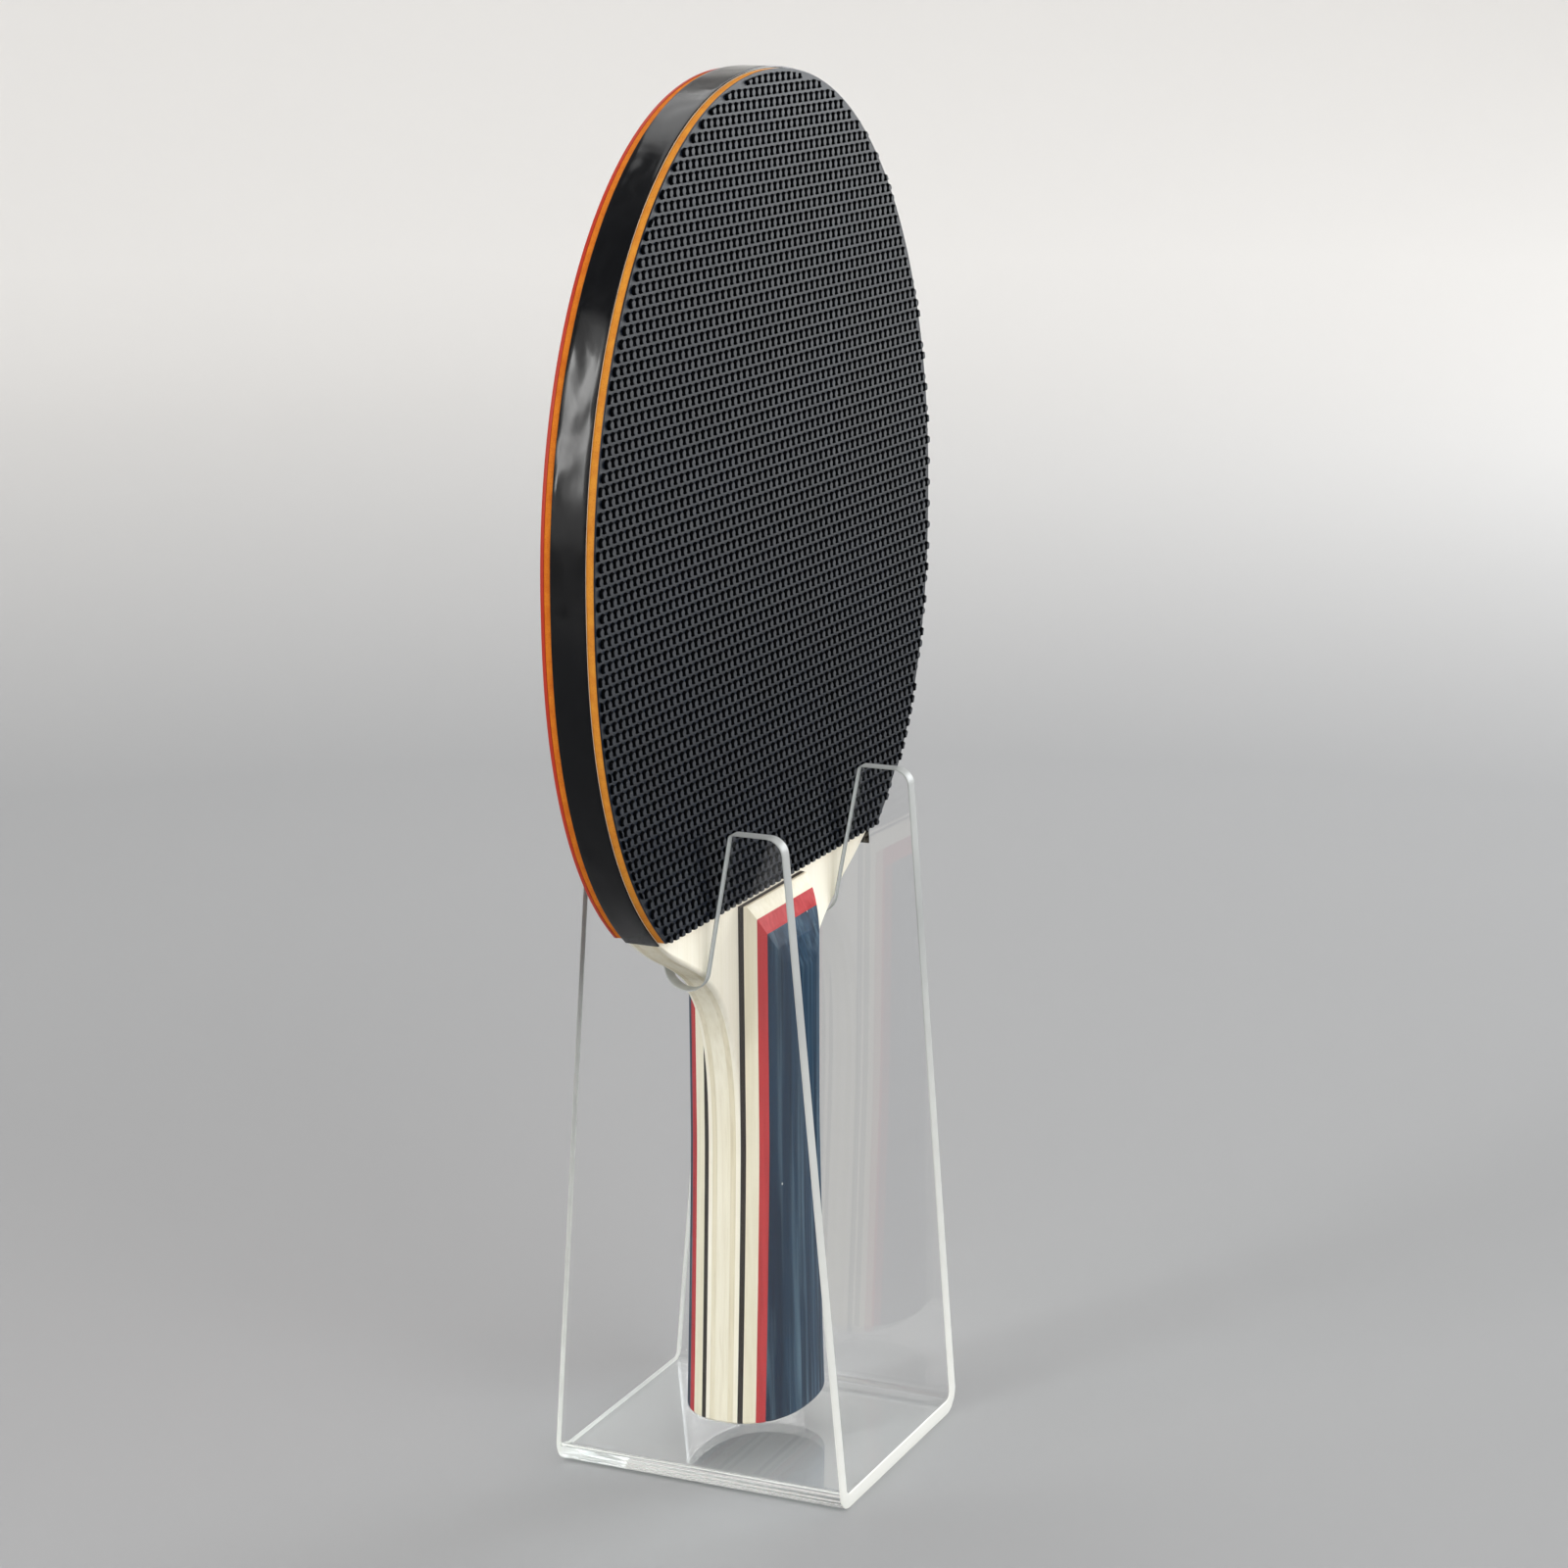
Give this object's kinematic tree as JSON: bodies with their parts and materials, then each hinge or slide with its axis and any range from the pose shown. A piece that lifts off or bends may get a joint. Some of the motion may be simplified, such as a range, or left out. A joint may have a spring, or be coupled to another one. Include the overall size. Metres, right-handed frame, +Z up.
{
  "type": "racket display stand",
  "caption": "Clear acrylic display stand, bent from one sheet, with a table-tennis racket hanging by the wings of its blade in the stand's two notches.",
  "frame": {"origin": "centre of the stand's underside, on the surface it stands on", "axes": "+Z up; X from one upright to the other, across the racket's width; Y through the racket's thickness, black face towards -Y, red face towards +Y"},
  "size_m": [0.1508, 0.061, 0.2696],
  "materials": {
    "clear_acrylic": "clear acrylic with polished faces and bright cut edges",
    "core_wood": "pale wood, sanded",
    "inner_ply_wood": "pale wood ply, sanded",
    "face_ply_wood": "cream wood veneer, lightly sealed",
    "orange_sponge": "orange foam rubber with fine open cells",
    "black_rubber": "black rubber with outward pimples, dull tops",
    "red_rubber": "smooth red rubber with a soft sheen",
    "black_tape": "glossy black tape",
    "dark_veneer": "dark stained veneer",
    "pale_layer_wood": "pale wood layer, lightly lacquered",
    "red_layer_wood": "red stained wood layer, lightly lacquered",
    "blue_shell_wood": "navy stained wood with lengthwise grain, lightly lacquered"
  },
  "bodies": {
    "stand": {"acrylic_stand": "clear_acrylic"},
    "racket": {"blade_core": "core_wood", "blade_inner_ply_front": "inner_ply_wood", "blade_inner_ply_back": "inner_ply_wood", "blade_face_ply_front": "face_ply_wood", "blade_face_ply_back": "face_ply_wood", "black_sponge": "orange_sponge", "black_topsheet": "black_rubber", "red_sponge": "orange_sponge", "red_topsheet": "red_rubber", "edge_tape": "black_tape", "handle_dark_veneer_front": "dark_veneer", "handle_dark_veneer_back": "dark_veneer", "handle_pale_layer_front": "pale_layer_wood", "handle_pale_layer_back": "pale_layer_wood", "handle_red_layer_front": "red_layer_wood", "handle_red_layer_back": "red_layer_wood", "handle_blue_shell_front": "blue_shell_wood", "handle_blue_shell_back": "blue_shell_wood"}
  },
  "joints": [
    {"name": "racket_lift", "type": "slide", "parent": "stand", "child": "racket", "axis": [0, 0, 1], "range_m": [0, 0.13]}
  ]
}
